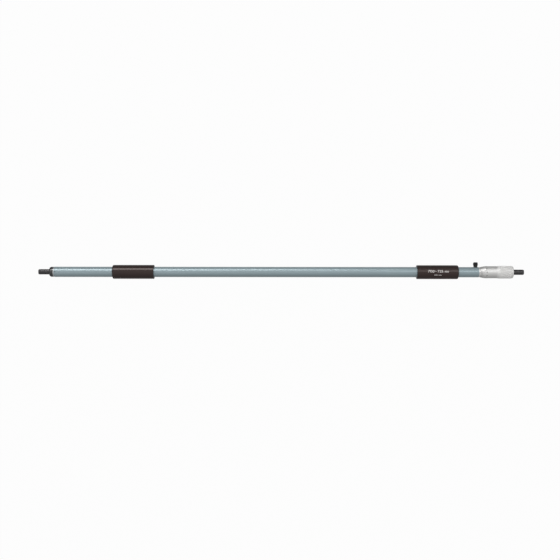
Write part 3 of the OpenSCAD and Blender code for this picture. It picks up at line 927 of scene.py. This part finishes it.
# %% Enamel and plastic
ENAMEL_DARK, ENAMEL_PALE = (0.243, 0.315, 0.34), (0.29, 0.368, 0.396)
PLASTIC_DARK, PLASTIC_PALE = (0.009, 0.0035, 0.003), (0.018, 0.0085, 0.0075)
PEEL_DEPTH, PEEL_STRENGTH, GRAIN_DEPTH = 4e-6, 0.6, 6e-6
LACQUER = {"Metallic": 0.35, "Coat Weight": 0.5, "Coat Roughness": 0.2}
WARM_GLOSS = {"Specular IOR Level": 0.54, "Specular Tint": (1.0, 0.87, 0.83, 1.0)}


def enamel(place):
    """Speckle and clouds in the colour, and orange peel in the gloss and the relief."""
    speckle, cloud, peel = noise(place, 5200), noise(place, 45), noise(place, 900)
    return {
        "Base Color": mixed(place, speckle * 0.6 + cloud * 0.4, ENAMEL_DARK, ENAMEL_PALE),
        "Roughness": 0.26 + 0.08 * cloud + 0.06 * peel,
        "Normal": relief(place, peel, PEEL_DEPTH, PEEL_STRENGTH),
    }


def plastic(place):
    """Grain and clouds in the colour and the gloss, and grain in the relief."""
    grain, cloud = noise(place, 4200), noise(place, 60)
    return {
        "Base Color": mixed(place, 0.5 * grain + 0.5 * cloud, PLASTIC_DARK, PLASTIC_PALE),
        "Roughness": 0.15 + 0.1 * cloud + 0.08 * grain,
        "Normal": relief(place, grain, GRAIN_DEPTH),
    }


finishes = {
    "tube_enamel": finished("tube_enamel", LACQUER, enamel),
    "grip_plastic": finished("grip_plastic", WARM_GLOSS, plastic),
}

# %% [markdown]
# Turned and ground metal carries fine rings round its axis. Noise that is squeezed along the axis and
# drawn out across it looks just like them. One function makes the whole family of metals, from satin
# chrome to black oxide, with two colours, a roughness and a depth of ring each. The lapped carbide has
# no rings, and the nut is a deeper black than the knob, with a stronger shine.

# %% Metals
RINGS, NO_RINGS = (60.0, 1.0, 1.0), (1.0, 1.0, 1.0)
BARE = {"Metallic": 1.0}
METALS = {
    "satin_chrome": (BARE, (0.77, 0.765, 0.755), (0.85, 0.845, 0.835), 0.44, 3e-6),
    "holder_steel": (BARE, (0.5, 0.52, 0.53), (0.66, 0.68, 0.69), 0.3, 4e-6),
    "ground_steel": (BARE, (0.4, 0.41, 0.42), (0.5, 0.51, 0.52), 0.22, 2e-6),
    "anvil_steel": ({"Metallic": 0.6, "Specular IOR Level": 0.9},
                    (0.022, 0.021, 0.022), (0.046, 0.044, 0.046), 0.16, 3e-6),
    "pin_steel": ({"Metallic": 0.8}, (0.05, 0.05, 0.055), (0.08, 0.08, 0.085), 0.4, 3e-6),
    "carbide": (BARE, (0.18, 0.18, 0.19), (0.24, 0.24, 0.25), 0.16, 5e-7, NO_RINGS),
    "shoe_brass": (BARE, (0.55, 0.36, 0.11), (0.66, 0.45, 0.16), 0.3, 3e-6),
    "black_oxide": ({"Specular IOR Level": 0.4}, (0.007, 0.007, 0.008), (0.014, 0.013, 0.013), 0.24, 3e-6),
    "nut_black": ({"Specular IOR Level": 1.0}, (0.004, 0.004, 0.005), (0.008, 0.007, 0.007), 0.28, 3e-6),
}


def turning(place, stretch=RINGS):
    """The two patterns of every metal: rings round the axis, and clouds."""
    return noise(place, 110, 3.0, stretch), noise(place, 160)


def metal(dark, bright, roughness, ring_depth, stretch=RINGS):
    """A pattern of rings and clouds for a metal between two colours."""
    def pattern(place):
        rings, cloud = turning(place, stretch)
        return {
            "Base Color": mixed(place, 0.5 * rings + 0.5 * cloud, dark, bright),
            "Roughness": (roughness - 0.08) + 0.1 * rings + 0.06 * cloud,
            "Normal": relief(place, rings, ring_depth),
        }
    return pattern


finishes |= {slot: finished(slot, constant, metal(*look)) for slot, (constant, *look) in METALS.items()}

# %% [markdown]
# The thimble was brushed on its barrel only, so its knurl and its cap are duller. Their colour is
# also painted paler, a painted highlight for the light that the knurled band catches. A step at the
# station where the knurl starts tells the two apart, because one piece carries both.

# %% Chrome of the thimble
CHROME_DARK, CHROME_BRIGHT, BRUSH_DEPTH = (0.67, 0.665, 0.655), (1.0, 0.995, 0.985), 3e-6


def thimble_chrome(place):
    """Satin chrome with rings and clouds, rougher from the knurl on and painted paler there as a painted
    highlight.
    """
    rings, cloud = turning(place)
    station = place.node("SeparateXYZ", {}, {0: place}, "X")
    unbrushed_and_painted_pale = station.math("GREATER_THAN", station, knurl_start * MM)
    # The 0.3 step paints the knurl and the cap paler, a painted highlight for the light the knurled band
    # catches; the rougher gloss is the real unbrushed plating.
    shade = 0.12 * rings + 0.12 * cloud + 0.3 * unbrushed_and_painted_pale
    return {
        "Base Color": mixed(place, shade, CHROME_DARK, CHROME_BRIGHT),
        "Roughness": 0.4 + 0.1 * rings + 0.06 * cloud + 0.16 * unbrushed_and_painted_pale,
        "Normal": relief(place, rings, BRUSH_DEPTH),
    }


handle = finished("thimble_chrome", BARE, thimble_chrome)

# %% [markdown]
# Ink and paint fill the marks. Both are slightly uneven, as a filling that was wiped off would be, so
# one function makes both from a thin and a thick colour.

# %% Ink and paint
def filling(thin, thick):
    """A pattern for a wiped filling that is a little thinner in places."""
    def pattern(place):
        wiped = noise(place, 3000)
        return {"Base Color": mixed(place, wiped, thin, thick), "Roughness": 0.45 + 0.2 * wiped}
    return pattern


ink = finished("scale_ink", {}, filling((0.035, 0.034, 0.036), (0.012, 0.012, 0.014)))
paint = finished("print_paint", {}, filling((0.7, 0.68, 0.66), (0.86, 0.85, 0.83)))

# %% [markdown]
# Each piece now gets the finish that the record names for it, apart from a few that have their own.
# CAD nodes that stay in sight, such as the spindle deep inside the head, take theirs from the same
# list.

# %% Finishes on the pieces
own_finish = {"lock_nut": finishes["nut_black"], "thimble_turned": handle, "cap": handle, "grip_print": paint}
own_finish |= dict.fromkeys(["thimble_lines", "thimble_figures", "sleeve_scale", "sleeve_figures"], ink)
node_slot = {row["node"]: row["material_slot"] for row in frame["record"]["subparts"]}
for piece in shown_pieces():
    slot_name = piece.get("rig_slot") or node_slot[piece.name]
    piece.data.materials.clear()
    piece.data.materials.append(own_finish.get(piece.name) or finishes[slot_name])

# %% [markdown]
# The floor is a wide pale sheet under the grips. A plane from Blender's menu would do as well, but a
# grid of squares is the same few lines as every other surface here.

# %% Floor
FLOOR_HALF, FLOOR_SQUARES = 4.0, 8
floor_level = cad_box[0].z
lattice = np.linspace(-FLOOR_HALF, FLOOR_HALF, FLOOR_SQUARES + 1)
east, north = np.meshgrid(lattice, lattice, indexing="ij")
corner = np.arange(east.size).reshape(east.shape)
floor_squares = np.stack([corner[:-1, :-1], corner[1:, :-1], corner[1:, 1:], corner[:-1, 1:]], axis=-1)
floor_points = np.stack([east, north, np.full_like(east, floor_level)], axis=-1)
floor = placed("floor", meshed("floor", floor_points, floor_squares))
print("floor at", round(floor_level, 4))

# %% [markdown]
# To the camera and in reflections the floor is mostly the white of the backdrop, and the rest is its
# real surface, which keeps a faint shadow of the tube. The Light Path node tells these rays apart, so
# the white background needs no extra light on the object.

# %% Paper on the floor
PAPER_DARK, PAPER_PALE = (0.48, 0.48, 0.48), (0.52, 0.52, 0.52)
WHITE = (1, 1, 1, 1)
WHITE_SHARE, MIRRORED_SHARE = 0.97, 0.05


def rays(start):
    """Three fields that are 1 for rays from the camera, from a reflection, and through glass."""
    kinds = ("Is Camera Ray", "Is Glossy Ray", "Is Transmission Ray")
    return [start.node("LightPath", {}, {}, kind) for kind in kinds]


def paper_fibre(place):
    """A faint mottle of fibres."""
    return {"Base Color": mixed(place, noise(place, 700), PAPER_DARK, PAPER_PALE)}


paper = finished("paper", {"Roughness": 0.9, "Specular IOR Level": 0.1}, paper_fibre)
tree = paper.node_tree
surface = Field(tree, tree.nodes["Principled BSDF"].outputs[0])
seen, mirrored, through = rays(surface)
white = surface.node("Emission", {}, {"Color": WHITE, "Strength": 1.0})
share = WHITE_SHARE * seen + MIRRORED_SHARE * mirrored + WHITE_SHARE * through
both = surface.node("MixShader", {}, {0: share, 1: surface, 2: white})
tree.links.new(both.socket, tree.nodes["Material Output"].inputs["Surface"])
floor.data.materials.append(paper)

# %% [markdown]
# A studio has soft light and one or two lamps with shape. The world gives the soft part: a dome that
# is bright on the camera's side and dim behind the object, so that round metal keeps dark edges. A sky
# texture would bring colours that a studio doesn't have, so the dome is two plain greys.

# %% Dome of soft light
DOME_DIM, DOME_BRIGHT, DOME_TILT = 0.3, 0.85, 15


def aimed(degrees):
    """A direction square to the tube, turned from the camera's side towards the knob's."""
    return around(np.radians(degrees))


world = bpy.data.worlds.new("studio")
bpy.context.scene.world = world
world.use_nodes = True
tree = world.node_tree
sky = Field(tree).node("TexCoord", {}, {}, "Generated")
seen, mirrored, through = rays(sky)
frontal = sky.node("VectorMath", {"operation": "DOT_PRODUCT"}, {0: sky, 1: aimed(DOME_TILT)}, "Value")
rising = 0.5 * frontal + 0.5
dim, bright, white = [
    sky.node("Background", {}, {"Color": WHITE, "Strength": level}) for level in (DOME_DIM, DOME_BRIGHT, 1.0)
]
dome = sky.node("MixShader", {}, {0: rising * rising, 1: dim, 2: bright})
both = sky.node("MixShader", {}, {0: seen + MIRRORED_SHARE * mirrored + through, 1: dome, 2: white})
tree.links.new(both.socket, tree.nodes["World Output"].inputs["Surface"])
print("dome from", DOME_DIM, "behind to", DOME_BRIGHT, "in front")

# %% [markdown]
# Long strip lamps draw the bright line along the tube, and a box near the camera lights the head.
# Their brightness is stated as radiance, where 1 is the white of paper, so that a lamp can change its
# size without changing how bright its reflection looks. Their sizes and places are in metres.

# %% Lamps
def softbox(name, station, distance, degrees, target, length, width, radiance):
    """A rectangular lamp with its length along the tube, turned to a station of the axis.

    Its power is radiance times pi times its area.
    """
    centre = station * along + distance * aimed(degrees)
    back = centre - target * along
    back /= np.linalg.norm(back)
    right = along - (along @ back) * back
    right /= np.linalg.norm(right)
    lamp = bpy.data.lights.new(name, "AREA")
    lamp.shape, lamp.size, lamp.size_y = "RECTANGLE", length, width
    lamp.energy = radiance * np.pi * length * width
    placed(name, lamp).matrix_world = standing_at(centre, right, np.cross(back, right), back)


softbox("left_strip", station=-0.2, distance=1.1, degrees=49,
        target=0.05, length=0.8, width=0.34, radiance=5.4)
softbox("middle_strip", station=0.39, distance=1.1, degrees=55,
        target=0.3, length=0.42, width=0.34, radiance=5.2)
softbox("head_box", station=0.94, distance=1.2, degrees=19,
        target=0.62, length=0.5, width=0.3, radiance=2.4)
print("lamps:", [lamp.name for lamp in bpy.data.lights])

# %% [markdown]
# Colours are shown as they are written, so the view transform is the plain one.

# %% Size and finish
bpy.context.scene.view_settings.view_transform = "Standard"
print("CAD box", [list(corner) for corner in cad_box])
